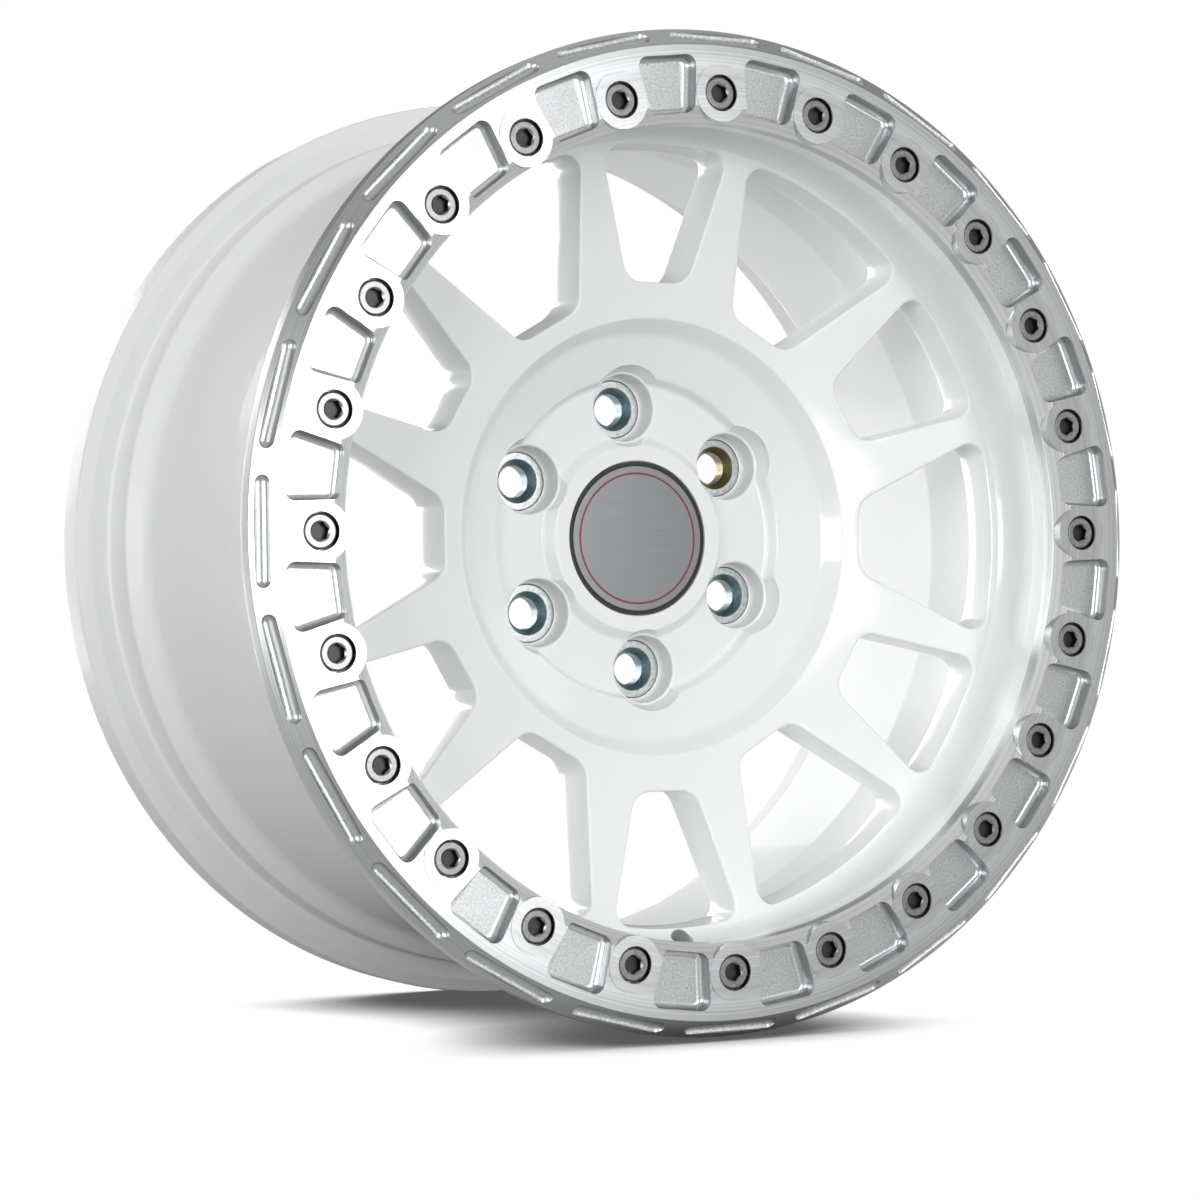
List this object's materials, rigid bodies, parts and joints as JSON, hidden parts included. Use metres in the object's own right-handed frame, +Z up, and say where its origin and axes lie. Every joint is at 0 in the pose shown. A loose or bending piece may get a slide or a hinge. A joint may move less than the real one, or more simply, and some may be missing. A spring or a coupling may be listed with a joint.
{
  "type": "alloy wheel",
  "caption": "White forged off-road alloy wheel with straight spokes, a recessed lug hub with a centre cap, and a bolted machined bead-lock ring.",
  "frame": {"origin": "on the spin axis, in the plane of the hub mounting face", "axes": "+Y along the spin axis away from the show face, +Z up as the wheel stands"},
  "size_m": [0.4956, 0.2683, 0.4956],
  "materials": {
    "white_paint": "gloss white paint on forged aluminium",
    "machined_aluminium": "machined and clear coated",
    "bolt_steel": "plain stainless steel",
    "zinc_steel": "zinc plated",
    "cap_plastic": "black moulded",
    "brushed_aluminium": "brushed",
    "spring_steel": "drawn wire"
  },
  "bodies": {
    "root": {"wheel": "white_paint", "beadlock_ring": "machined_aluminium", "ring_bolts": "bolt_steel", "lug_seat_1": "zinc_steel", "lug_seat_2": "zinc_steel", "lug_seat_3": "zinc_steel", "lug_seat_4": "zinc_steel", "lug_seat_5": "zinc_steel", "lug_seat_6": "zinc_steel", "cap_body": "cap_plastic", "cap_badge": "brushed_aluminium", "cap_spring": "spring_steel"}
  },
  "joints": []
}
